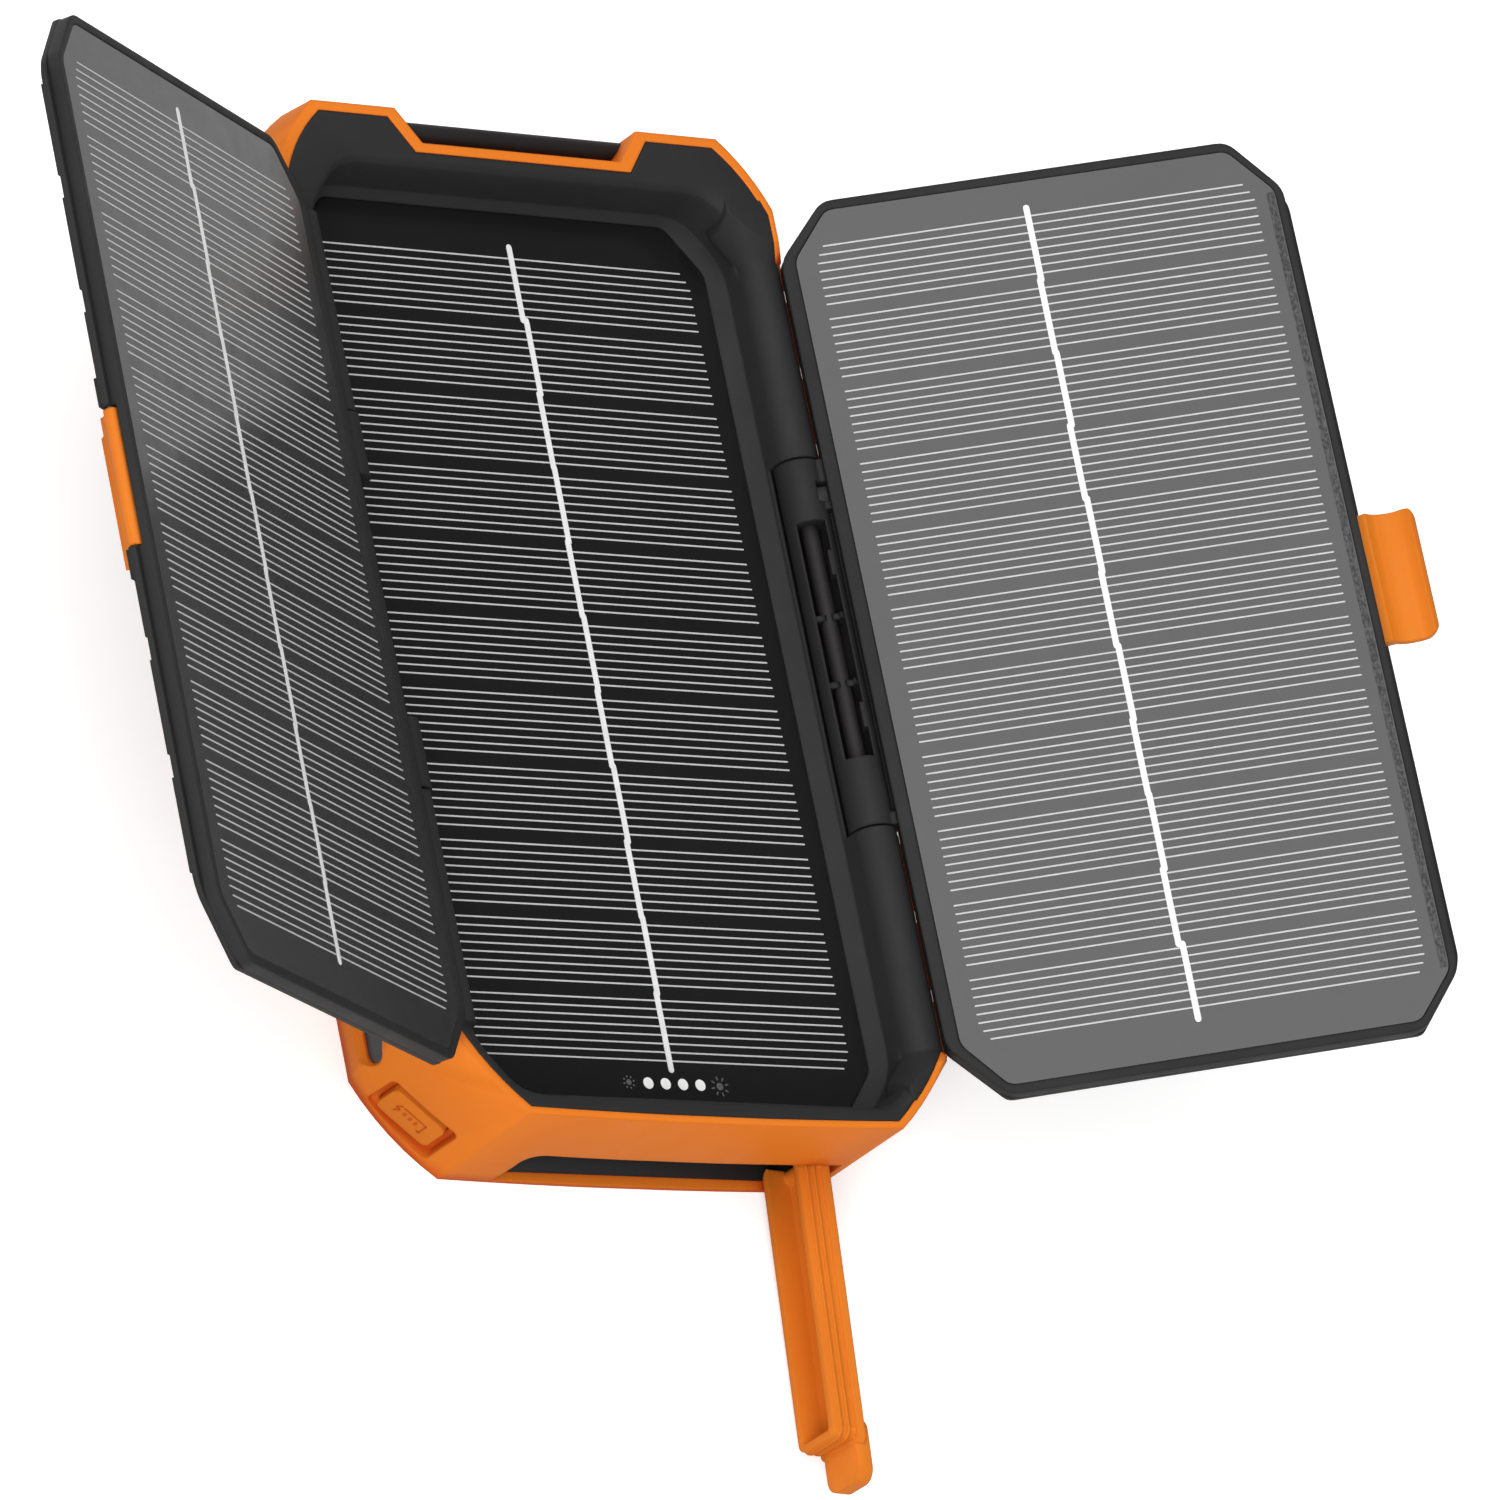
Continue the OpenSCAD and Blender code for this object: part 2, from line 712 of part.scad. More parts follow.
// Block in the flap's own frame: rounded corners in its face, thickness along y
module flap_block(x0, x1, y0, y1, half_h, r) {
    translate([(x0 + x1) / 2, y1, 0]) rotate([90, 0, 0]) linear_extrude(y1 - y0)
        rounded_rect(x1 - x0, 2 * half_h, r);
}

// Flap over the ports, drawn closed: it runs to -x from its pin
module port_flap_closed() {
    half_h = (slot_z1 - slot_z0) / 2 - 0.25;
    translate([0, 0, -half_h]) cylinder(r = flap_t / 2, h = 2 * half_h);
    box([-plug_end, -flap_t / 2, -half_h], [0, flap_inner, half_h]);
    flap_block(-plug_end - 0.9, -10, -flap_t / 2, flap_inner, half_h, 1.2);
    flap_block(-tab_end, 4 - plug_end, -flap_t / 2 - 1.1, flap_inner, half_h - 0.8, 2.4);
    difference() {
        flap_block(-plug_end, -plug_start, flap_inner - eps, flap_inner + plug_depth, plug_half_h, 1.6);
        flap_block(plug_wall - plug_end, 3, flap_inner, 20, plug_half_h - plug_wall, 0.6);
    }
    for (i = [0:1]) let (y = flap_inner + 1.2 + i * 1.4) difference() {
        flap_block(-plug_end - 0.3, -plug_start, y, y + 0.5, plug_half_h + 0.3, 1.8);
        flap_block(0.5 - plug_end, 3, y - 1, y + 2, plug_half_h - 0.5, 1.2);
    }
}

module port_flap() {
    color(orange) translate([flap_x, flap_y, slot_mid_z]) rotate([0, 0, flap_open]) difference() {
        port_flap_closed();
        translate([0, 0, -20]) cylinder(r = flap_pin_r + running, h = 40);
    }
}

// Puts a wing, drawn with its face centre at the origin, on its hinge
module on_hinge(side) {
    axis_x = side > 0 ? right_axis_x : -left_axis_x;
    axis_z = side > 0 ? right_axis_z : left_axis_z;
    arm = side > 0 ? right_arm : left_arm;
    mirror([side > 0 ? 0 : 1, 0, 0]) translate([axis_x, 0, axis_z])
        rotate([0, -wing_rise, 0]) translate([arm, 0, face_above_axis]) children();
}

module clip_notch() {
    box([clip_u - 8, clip_y - clip_half_l - clip_room, -wing_t - 1],
        [clip_u, clip_y + clip_half_l + clip_room, clip_fold_w]);
    box([clip_u - 2.8, clip_y - clip_half_l - clip_room, -wing_t - 1],
        [clip_u + 5, clip_y + clip_half_l + clip_room, clip_w + clip_barrel_r + 0.3]);
}

module clip_pin_bore(r) {
    along_y(clip_y - clip_half_l - 4, clip_y + clip_half_l + 4, r, clip_u, clip_w);
}

module wing_screw_at() {
    for (y = [-58, -42, 42, 58]) translate([-40.1, y, 0]) children();
}

module wing_frame() {
    color(black) difference() {
        slab(-frame_t, 0, wing_pts());
        slab(-frame_t - 1, 1, sheet_pts(-gap));
        clip_notch();
        wing_screw_at() translate([0, 0, -frame_t - 1]) cylinder(r = 0.6 + press, h = 2.4);
    }
}

module wing_back(side) {
    arm = side > 0 ? right_arm : left_arm;
    r = side > 0 ? right_knuckle_r : left_knuckle_r;
    pin = side > 0 ? hinge_pin_r : left_pin_r;
    axis_w = -face_above_axis;
    color(black) difference() {
        union() {
            slab(-edge_t, -frame_t, back_pts());
            slab(-frame_t - eps, plateau - frame_t, sheet_pts(0.7));
            slab(-wing_t + 0.4, -frame_t, octagon(wing_half_w - 4.5, wing_half_l - 4, 8.2, 9.2));
            for (i = [-3:3]) let (y = i * rib_pitch, half = 0.4 * rib_pitch) {
                box([-pad_half_w, y - half, -wing_t], [pad_half_w, y + half, -edge_t]);
                box([pad_half_w, y - half, -edge_t - 0.3], [outer_w + outer_step, y + half, -frame_t - 0.1]);
            }
            for (s = [-1, 1]) box([clip_u - 1.3, clip_y + s * 13.7 - 2.3, -wing_t],
                [clip_u + 1.3, clip_y + s * 13.7 + 2.3, -frame_t]);
            along_y(knuckle_y0, knuckle_y1, r, -arm, axis_w);
            box([-arm, knuckle_y0, -wing_t], [-38, knuckle_y1, -frame_t]);
            for (y = [[window_y1 + 2, knuckle_y1], [knuckle_y0, window_y0 - 9.4]])
                box([-arm, y[0], -frame_t - 1], [-wing_half_w - 0.02, y[1], -0.7]);
        }
        along_y(knuckle_y0 - 1, knuckle_y1 + 1, pin + running, -arm, axis_w);
        if (side > 0) {
            along_y(window_y0, window_y1, right_knuckle_r - 1, -arm, axis_w);
            box([-arm - window_w / 2, window_y0, axis_w], [window_w / 2 - arm, window_y1, 9]);
        }
        if (side < 0) box([-arm - 9, window_y0, -20], [-wing_half_w - 0.1, window_y1, 20]);
        clip_notch();
        clip_pin_bore(clip_pin_r + press);
        wing_screw_at() translate([0, 0, -9]) cylinder(r = 0.75, h = 9);
        wing_screw_at() translate([0, 0, -edge_t - 1]) cylinder(r = 1.05, h = 1.7);
        box([2 - arm, 25.8, -3.1], [-36, 29.2, 1]);
    }
    if (side > 0) color(black) window_details(axis_w);
}

// Two webs that carry the pin across the window, and two lugs on its outer wall
module window_details(axis_w) {
    difference() {
        union() {
            for (y = web_y) along_y(y, y + 1, right_knuckle_r - 0.9, -right_arm, axis_w);
            for (y = lug_y) box([window_w / 2 - 0.6 - right_arm, y, axis_w],
                [window_w / 2 + 0.2 - right_arm, y + 4.2, axis_w + right_knuckle_r - 0.9]);
        }
        along_y(window_y0, window_y1, hinge_pin_r + running, -right_arm, axis_w);
        box([-right_arm - 9, window_y0, axis_w + hinge_pin_r],
            [window_w / 2 - 0.6 - right_arm, window_y1, 9]);
    }
}

module wing_board() {
    panel_board(plateau - frame_t, -sheet_drop - sheet_t - cell_t, sheet_half_l);
}

module wing_cells() {
    panel_cells(-sheet_drop - sheet_t - cell_t, -sheet_drop - sheet_t);
}

module wing_sheet() {
    panel_sheet(-sheet_drop - sheet_t, -sheet_drop, sheet_half_l);
}

module wing_screws() {
    color(steel) wing_screw_at() {
        translate([0, 0, -edge_t + 0.05]) cylinder(r = 1, h = 0.6);
        translate([0, 0, -edge_t + 0.05]) cylinder(r = 0.6, h = 2.2);
    }
}

module wing_lead(side) {
    arm = side > 0 ? right_arm : left_arm;
    color([0.15, 0.15, 0.15]) box([2.1 - arm, 26, -3], [-38.6, 29, -2.3]);
}

module wing_clip_pin() {
    color(steel) clip_pin_bore(clip_pin_r);
}

// Latch clip: a barrel on its pin and a curled plate whose hollow side faces front
module wing_clip(fold) {
    y0 = clip_y - clip_half_l;
    y1 = clip_y + clip_half_l;
    color(orange) translate([clip_u, 0, clip_w]) rotate([0, fold, 0]) translate([-clip_u, 0, -clip_w])
        difference() {
            union() {
                along_y(y0, y1, clip_barrel_r, clip_u, clip_w);
                intersection() {
                    difference() {
                        along_y(y0, y1, clip_arc_r + clip_t, clip_arc_u, clip_arc_w);
                        along_y(y0 - 1, y1 + 1, clip_arc_r, clip_arc_u, clip_arc_w);
                    }
                    translate([clip_arc_u, y1, clip_arc_w]) rotate([90, 0, 0])
                        linear_extrude(y1 - y0) polygon([[0, 0], [-7, -6.4], [-7, -9], [9, -9], [9, -7]]);
                }
                translate([0, y1, 0]) rotate([90, 0, 0]) linear_extrude(y1 - y0)
                    polygon([[clip_u + 0.4, clip_w + 0.9], [clip_u + 2.6, clip_w + 1.3],
                        [clip_u + 3.4, clip_w - 0.3], [clip_u, clip_w - 1.1]]);
            }
            along_y(y0 - 1, y1 + 1, clip_pin_r + running, clip_u, clip_w);
            clip_corners(y0, y1);
        }
}

// Cuts the two corners at the free end of the clip to a curve
module clip_corners(y0, y1) {
    r = clip_corner;
    u = clip_arc_u + (clip_arc_r + clip_t) * cos(atan2(7, 9)) - r;
    for (s = [-1, 1]) translate([u, (y0 + y1) / 2 + s * ((y1 - y0) / 2 - r), -20]) difference() {
        box([0, s > 0 ? 0 : -r - 1, 0], [r + 2, s > 0 ? r + 1 : 0, 40]);
        translate([0, 0, -1]) cylinder(r = r, h = 42);
    }
}

module right_wing_frame() { on_hinge(1) wing_frame(); }
module right_wing_back() { on_hinge(1) wing_back(1); }
module right_wing_board() { on_hinge(1) wing_board(); }
module right_wing_cells() { on_hinge(1) wing_cells(); }
module right_wing_sheet() { on_hinge(1) wing_sheet(); }
module right_wing_screws() { on_hinge(1) wing_screws(); }
module right_wing_lead() { on_hinge(1) wing_lead(1); }
module right_clip_pin() { on_hinge(1) wing_clip_pin(); }
module right_clip() { on_hinge(1) wing_clip(0); }
module left_wing_frame() { on_hinge(-1) wing_frame(); }
module left_wing_back() { on_hinge(-1) wing_back(-1); }
module left_wing_board() { on_hinge(-1) wing_board(); }
module left_wing_cells() { on_hinge(-1) wing_cells(); }
module left_wing_sheet() { on_hinge(-1) wing_sheet(); }
module left_wing_screws() { on_hinge(-1) wing_screws(); }
module left_wing_lead() { on_hinge(-1) wing_lead(-1); }
module left_clip_pin() { on_hinge(-1) wing_clip_pin(); }
module left_clip() { on_hinge(-1) wing_clip(clip_fold); }

bumper();
front_tray();
rear_cover();
case_gasket();
case_screws();
center_panel_board();
center_panel_cells();
center_panel_sheet();
battery_cells();
battery_foam();
main_board();
board_screws();
battery_leads();
port_panel();
usb_a_sockets();
usb_c_socket();
status_leds();
status_light_pipe();
flashlight_lens();
flashlight_reflector();
flashlight_led();
button_switch();
lanyard_bar();
right_hinge_pin();
left_hinge_pins();
flap_pin();
power_button();
port_flap();
right_wing_frame();
right_wing_back();
right_wing_board();
right_wing_cells();
right_wing_sheet();
right_wing_screws();
right_wing_lead();
right_clip_pin();
right_clip();
left_wing_frame();
left_wing_back();
left_wing_board();
left_wing_cells();
left_wing_sheet();
left_wing_screws();
left_wing_lead();
left_clip_pin();
left_clip();
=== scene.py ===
"""Looks of the folding solar power bank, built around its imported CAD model."""
import json
import math

import bmesh
import bpy
from mathutils import Matrix, Vector


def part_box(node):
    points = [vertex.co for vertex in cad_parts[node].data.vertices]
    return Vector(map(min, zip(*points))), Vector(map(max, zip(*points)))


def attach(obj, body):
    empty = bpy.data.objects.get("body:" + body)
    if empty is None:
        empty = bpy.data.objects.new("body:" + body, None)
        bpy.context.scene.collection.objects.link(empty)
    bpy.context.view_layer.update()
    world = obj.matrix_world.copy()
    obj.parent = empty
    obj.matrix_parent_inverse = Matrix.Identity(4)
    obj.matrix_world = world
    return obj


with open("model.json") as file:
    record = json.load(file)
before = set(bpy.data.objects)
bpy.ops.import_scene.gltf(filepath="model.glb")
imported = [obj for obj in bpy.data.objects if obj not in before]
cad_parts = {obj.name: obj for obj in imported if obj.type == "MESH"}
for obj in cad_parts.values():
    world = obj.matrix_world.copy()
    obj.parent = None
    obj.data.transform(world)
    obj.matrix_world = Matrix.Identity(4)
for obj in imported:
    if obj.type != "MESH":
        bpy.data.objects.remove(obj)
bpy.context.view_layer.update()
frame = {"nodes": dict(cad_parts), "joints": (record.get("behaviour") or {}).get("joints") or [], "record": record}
MM = 0.001
WING_RISE = math.radians(30)


# ---------------------------------------------------------------- materials

MAP_INPUTS = ("From Min", "From Max", "To Min", "To Max")
SOFT_EDGE_SAMPLES = 4
OPENNESS_SAMPLES = 6
# Pointiness at which wear on an outer edge starts, and at which it is full
WEAR_START, WEAR_FULL = 0.52, 0.62
# Gaps narrower than this get the painted groove shade, in metres
GROOVE_SHADE_REACH = 0.004
# Openness at which the painted groove shade is full, and at which it has faded out
GROOVE_SHADE_FULL, GROOVE_SHADE_GONE = 0.45, 0.9


class Shader:
    """A node material: a Principled shader with helpers that feed its inputs."""

    def __init__(self, name):
        self.material = bpy.data.materials.new(name)
        self.material.use_nodes = True
        self.tree = self.material.node_tree
        self.bsdf = self.tree.nodes["Principled BSDF"]
        self.coords = self.node("ShaderNodeTexCoord").outputs["Object"]

    def node(self, kind, **settings):
        made = self.tree.nodes.new(kind)
        for key, value in settings.items():
            setattr(made, key, value)
        return made

    def join(self, source, target):
        self.tree.links.new(source, target)

    def value(self, name, amount):
        self.bsdf.inputs[name].default_value = amount

    def noise(self, scale, detail=4.0, roughness=0.6, stretch=(1, 1, 1)):
        """Noise in metres: scale is how many features fit in one metre."""
        mapping = self.node("ShaderNodeMapping")
        mapping.inputs["Scale"].default_value = stretch
        self.join(self.coords, mapping.inputs["Vector"])
        made = self.node("ShaderNodeTexNoise")
        made.inputs["Scale"].default_value = scale
        made.inputs["Detail"].default_value = detail
        made.inputs["Roughness"].default_value = roughness
        self.join(mapping.outputs["Vector"], made.inputs["Vector"])
        return made.outputs["Fac"]

    def ramp(self, source, low, high, low_colour, high_colour):
        made = self.node("ShaderNodeValToRGB")
        first, last = made.color_ramp.elements
        first.position, last.position = low, high
        first.color, last.color = (*low_colour, 1), (*high_colour, 1)
        self.join(source, made.inputs["Fac"])
        return made.outputs["Color"]

    def fit(self, source, low, high, new_low, new_high):
        made = self.node("ShaderNodeMapRange")
        for key, amount in zip(MAP_INPUTS, (low, high, new_low, new_high)):
            made.inputs[key].default_value = amount
        self.join(source, made.inputs["Value"])
        return made.outputs["Result"]

    def blend(self, factor, first, second):
        made = self.node("ShaderNodeMix", data_type="RGBA")
        self.join(factor, made.inputs["Factor"])
        for socket, source in ((made.inputs["A"], first), (made.inputs["B"], second)):
            if isinstance(source, tuple):
                socket.default_value = (*source, 1)
            else:
                self.join(source, socket)
        return made.outputs["Result"]

    def colour(self, source):
        self.join(source, self.bsdf.inputs["Base Color"])

    def rough(self, source):
        self.join(source, self.bsdf.inputs["Roughness"])

    def bump(self, height, depth, below=None):
        """Adds a bump of the given depth in metres, on top of an earlier one."""
        made = self.node("ShaderNodeBump")
        made.inputs["Distance"].default_value = depth
        self.join(height, made.inputs["Height"])
        if below is not None:
            self.join(below, made.inputs["Normal"])
        self.join(made.outputs["Normal"], self.bsdf.inputs["Normal"])
        return made.outputs["Normal"]

    def soft_edges(self, radius):
        """Normals that turn smoothly over edges, as moulded edges do."""
        made = self.node("ShaderNodeBevel", samples=SOFT_EDGE_SAMPLES)
        made.inputs["Radius"].default_value = radius
        return made.outputs["Normal"]

    def openness(self, reach):
        """Near 1 on open surfaces, falling towards 0 in grooves narrower than the reach."""
        made = self.node("ShaderNodeAmbientOcclusion", samples=OPENNESS_SAMPLES)
        made.inputs["Distance"].default_value = reach
        return made.outputs["AO"]

    def edge_wear(self):
        """Near 1 on sharp outer edges, 0 elsewhere."""
        geometry = self.node("ShaderNodeNewGeometry")
        return self.fit(geometry.outputs["Pointiness"], WEAR_START, WEAR_FULL, 0.0, 1.0)


def moulded(name, dark, light, roughness, grain, grain_depth, specular=0.5, wear=0.25,
            soften=0.0004, painted_groove_shade=None):
    """Moulded plastic or rubber: soft mottling, fine grain and paler worn edges.

    grain is how many grains fit in one metre, grain_depth and soften are in metres, and
    painted_groove_shade is painted shade: the darker, redder colour given deep in narrow gaps.
    """
    s = Shader(name)
    mottled = s.ramp(s.noise(28, detail=5), 0.35, 0.68, dark, light)
    worn_colour = tuple(min(1.0, c * 1.35 + 0.012) for c in light)
    worn = s.fit(s.edge_wear(), 0, 1, 0, wear)
    surface = s.blend(worn, mottled, worn_colour)
    # Painted shade: narrow gaps turn darker and redder, standing in for shade and for light bounced between their
    # walls
    if painted_groove_shade is not None:
        unshaded = s.fit(s.openness(GROOVE_SHADE_REACH), GROOVE_SHADE_FULL, GROOVE_SHADE_GONE, 0, 1)
        surface = s.blend(unshaded, painted_groove_shade, surface)
    s.colour(surface)
    s.rough(s.fit(s.noise(160, detail=6), 0.3, 0.7, roughness - 0.06, roughness + 0.06))
    s.value("Specular IOR Level", specular)
    fine = s.bump(s.noise(grain, detail=3), grain_depth, below=s.soft_edges(soften))
    s.bump(s.noise(45, detail=2), 0.00002, below=fine)
    return s.material


def metal(name, colour, roughness, brushed=(1, 1, 1)):
    """Metal, with fine brush lines across the axis on which brushed is largest."""
    s = Shader(name)
    s.value("Metallic", 1.0)
    bright = tuple(min(1.0, c * 1.12) for c in colour)
    s.colour(s.ramp(s.noise(90, detail=5), 0.3, 0.7, colour, bright))
    lines = s.noise(900, detail=3, stretch=brushed)
    s.rough(s.fit(lines, 0.3, 0.7, roughness - 0.08, roughness + 0.08))
    s.bump(lines, 0.000006)
    return s.material


def panel_glaze(name, dark, light, roughness):
    """Clear resin over dark cells: a slightly wavy, slightly dusty gloss."""
    s = Shader(name)
    clouds = s.ramp(s.noise(14, detail=3), 0.3, 0.7, dark, light)
    flecks = s.fit(s.noise(9000, detail=2), 0.45, 0.8, 0.0, 0.15)
    s.colour(s.blend(flecks, clouds, tuple(c * 1.5 for c in light)))
    s.rough(s.fit(s.noise(220, detail=5), 0.3, 0.7, roughness - 0.04, roughness + 0.05))
    s.value("IOR", 1.5)
    s.bump(s.noise(60, detail=2), 0.000006)
    return s.material


def frosted(name, dark, light):
    """Coarse dark grain, as on the rough edge of a moulded clear sheet."""
    s = Shader(name)
    grain = s.noise(2600, detail=3, roughness=0.7, stretch=(1, 0.6, 1))
    s.colour(s.ramp(grain, 0.42, 0.62, dark, light))
    s.rough(s.fit(s.noise(700, detail=3), 0.3, 0.7, 0.5, 0.75))
    s.bump(grain, 0.00006)
    return s.material


def printed_silver(name, colour, roughness):
    """Screen-printed ink or silver paste, a little uneven."""
    s = Shader(name)
    dull = tuple(c * 0.86 for c in colour)
    s.colour(s.ramp(s.noise(500, detail=4), 0.3, 0.7, dull, colour))
    s.rough(s.fit(s.noise(1500, detail=2), 0.3, 0.7, roughness - 0.08, roughness + 0.08))
    s.bump(s.noise(2500, detail=2), 0.000005)
    return s.material


def clear_plastic(name, colour, roughness):
    """Half-clear tinted plastic."""
    s = Shader(name)
    paler = tuple(min(1, c * 1.05) for c in colour)
    s.colour(s.ramp(s.noise(70, detail=3), 0.3, 0.7, colour, paler))
    s.value("Transmission Weight", 0.5)
    s.rough(s.fit(s.noise(300, detail=3), 0.3, 0.7, roughness, roughness + 0.08))
    s.bump(s.noise(900, detail=2), 0.000004)
    return s.material


def glowing(name, colour, strength):
    """A lit plastic surface."""
    s = Shader(name)
    duller = tuple(c * 0.93 for c in colour)
    s.colour(s.ramp(s.noise(800, detail=2), 0.3, 0.7, duller, colour))
    s.rough(s.fit(s.noise(1200, detail=2), 0.3, 0.7, 0.3, 0.45))
    s.bsdf.inputs["Emission Color"].default_value = (*colour, 1)
    s.value("Emission Strength", strength)
    s.bump(s.noise(2000, detail=2), 0.000004)
    return s.material


ORANGE_DARK = (0.61, 0.148, 0.0105)
ORANGE_LIGHT = (0.65, 0.166, 0.0130)
# Painted shade for the shell's narrow grooves: darker and redder, standing in for their shade and for light
# bounced inside them
ORANGE_GROOVE_SHADE = (0.50, 0.062, 0.0045)
looks = {
    "orange_shell": moulded("orange_shell", ORANGE_DARK, ORANGE_LIGHT, 0.55, 5200, 0.000012,
                            specular=0.1, soften=0.0006, painted_groove_shade=ORANGE_GROOVE_SHADE),
    "orange_plastic": moulded("orange_plastic", ORANGE_DARK, (0.61, 0.172, 0.0140),
                              0.5, 5200, 0.00001, specular=0.12),
    "orange_rubber": moulded("orange_rubber", (0.61, 0.158, 0.0130), (0.65, 0.176, 0.0160),
                             0.6, 4200, 0.00002, specular=0.1),
    "black_plastic": moulded("black_plastic", (0.0140, 0.0140, 0.0143), (0.0185, 0.0185, 0.0188),
                             0.62, 4300, 0.000035, specular=0.2, wear=0.12, soften=0.0006),
    "seal_rubber": moulded("seal_rubber", (0.012, 0.012, 0.012), (0.02, 0.02, 0.02),
                           0.65, 2500, 0.00003),
    "steel": metal("steel", (0.55, 0.56, 0.58), 0.3, brushed=(1, 12, 1)),
    "panel_backing": moulded("panel_backing", (0.01, 0.01, 0.012), (0.016, 0.016, 0.018),
                             0.4, 2500, 0.00001),
    "solar_cell": panel_glaze("solar_cell", (0.012, 0.013, 0.017), (0.02, 0.021, 0.026), 0.3),
    "panel_glaze": panel_glaze("panel_glaze", (0.0060, 0.0060, 0.0062), (0.0080, 0.0080, 0.0082),
                               0.18),
    # Painted light: the same clear sheet as panel_glaze, made paler for the light the tilted wings catch
    "wing_glaze_painted_light": panel_glaze("wing_glaze_painted_light", (0.0250, 0.0250, 0.0254), (0.0300, 0.0300, 0.0304),
                              0.20),
    "battery_pouch": metal("battery_pouch", (0.62, 0.64, 0.68), 0.35),
    "foam": moulded("foam", (0.05, 0.05, 0.05), (0.09, 0.09, 0.09), 0.85, 900, 0.0002),
    "circuit_board": moulded("circuit_board", (0.01, 0.06, 0.025), (0.015, 0.085, 0.035),
                             0.35, 1500, 0.00001),
    "white_light": glowing("white_light", (0.86, 0.86, 0.85), 0.1),
    "clear_lens": clear_plastic("clear_lens", (0.055, 0.057, 0.068), 0.16),
    "reflector": metal("reflector", (0.30, 0.30, 0.33), 0.2),
    "bar_coating": moulded("bar_coating", (0.009, 0.008, 0.009), (0.014, 0.012, 0.013),
                           0.6, 3000, 0.00001, specular=0.25),
}
silver = printed_silver("silver_lines", (0.52, 0.52, 0.52), 0.5)
busbar_silver = printed_silver("busbar_silver", (0.76, 0.76, 0.76), 0.5)
grey_ink = printed_silver("grey_ink", (0.10, 0.10, 0.10), 0.55)
sign_orange = moulded("sign_orange", (0.47, 0.085, 0.006), (0.52, 0.100, 0.008),
                      0.5, 5200, 0.00001, specular=0.12)
grained_edge = frosted("grained_edge", (0.012, 0.012, 0.012), (0.075, 0.075, 0.075))


# ---------------------------------------------------------------- CAD nodes

# Radius in mm of the rounded edges of the nodes that get them
EDGE_ROUND = {
    "bumper": 0.55, "front_tray": 0.35, "rear_cover": 0.3, "port_flap": 0.25, "power_button": 0.3,
    "right_clip": 0.3, "left_clip": 0.3, "right_wing_frame": 0.3, "left_wing_frame": 0.3,
    "right_wing_back": 0.3, "left_wing_back": 0.3, "port_panel": 0.12, "lanyard_bar": 0.25,
}
EDGE_ROUND_SEGMENTS = 3
# Edges that turn by less than this stay as they are
EDGE_ROUND_FROM = math.radians(24)
SMOOTH_BELOW = math.radians(32)
WELD_DISTANCE = 0.002 * MM

# The wings' clear sheets get a paler copy of the glaze on the tray's sheet: painted light, for the light the
# tilted wings catch
OWN_LOOK = {"right_wing_sheet": "wing_glaze_painted_light", "left_wing_sheet": "wing_glaze_painted_light"}


def dress(node, slot):
    """Gives a CAD node its material and softly rounded edges."""
    piece = frame["nodes"][node]
    piece.data.materials.clear()
    piece.data.materials.append(looks[OWN_LOOK.get(node, slot)])
    weld = piece.modifiers.new("weld", "WELD")
    weld.merge_threshold = WELD_DISTANCE
    if node in EDGE_ROUND:
        bevel = piece.modifiers.new("round", "BEVEL")
        bevel.width = EDGE_ROUND[node] * MM
        bevel.segments = EDGE_ROUND_SEGMENTS
        bevel.limit_method = "ANGLE"
        bevel.angle_limit = EDGE_ROUND_FROM
        bevel.use_clamp_overlap = True
        bevel.harden_normals = False
    smooth_by_angle(piece)


def smooth_by_angle(piece):
    """Shades a mesh smooth except across its sharp edges."""
    group = bpy.data.node_groups.get("smooth_by_angle") or smooth_group()
    modifier = piece.modifiers.new("smooth", "NODES")
    modifier.node_group = group
    angle_socket = group.interface.items_tree["Angle"].identifier
    modifier[angle_socket] = SMOOTH_BELOW


def smooth_group():
    """The node group that shades smooth across edges flatter than its angle."""
    group = bpy.data.node_groups.new("smooth_by_angle", "GeometryNodeTree")
    group.interface.new_socket("Geometry", in_out="INPUT", socket_type="NodeSocketGeometry")
    group.interface.new_socket("Angle", in_out="INPUT", socket_type="NodeSocketFloat")
    group.interface.new_socket("Geometry", in_out="OUTPUT", socket_type="NodeSocketGeometry")
    start = group.nodes.new("NodeGroupInput")
    end = group.nodes.new("NodeGroupOutput")
    edge_angle = group.nodes.new("GeometryNodeInputMeshEdgeAngle")
    compare = group.nodes.new("FunctionNodeCompare")
    compare.operation = "LESS_THAN"
    faces = group.nodes.new("GeometryNodeSetShadeSmooth")
    faces.domain = "FACE"
    edges = group.nodes.new("GeometryNodeSetShadeSmooth")
    edges.domain = "EDGE"
    group.links.new(edge_angle.outputs["Unsigned Angle"], compare.inputs["A"])
    group.links.new(start.outputs["Angle"], compare.inputs["B"])
    group.links.new(start.outputs["Geometry"], faces.inputs["Geometry"])
    group.links.new(faces.outputs["Geometry"], edges.inputs["Geometry"])
    group.links.new(compare.outputs["Result"], edges.inputs["Shade Smooth"])
    group.links.new(edges.outputs["Geometry"], end.inputs["Geometry"])
    return group


for part in frame["record"]["subparts"]:
    dress(part["node"], part["material_slot"])


# ---------------------------------------------------------------- panel print

def new_piece(name, mesh_maker, material, body, place):
    """Adds a mesh made by mesh_maker(bm), placed by a matrix and riding on a body."""
    bm = bmesh.new()
    mesh_maker(bm)
    bm.transform(place)
    mesh = bpy.data.meshes.new(name)
    bm.to_mesh(mesh)
    bm.free()
    mesh.materials.append(material)
    piece = bpy.data.objects.new(name, mesh)
    bpy.context.scene.collection.objects.link(piece)
    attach(piece, body)


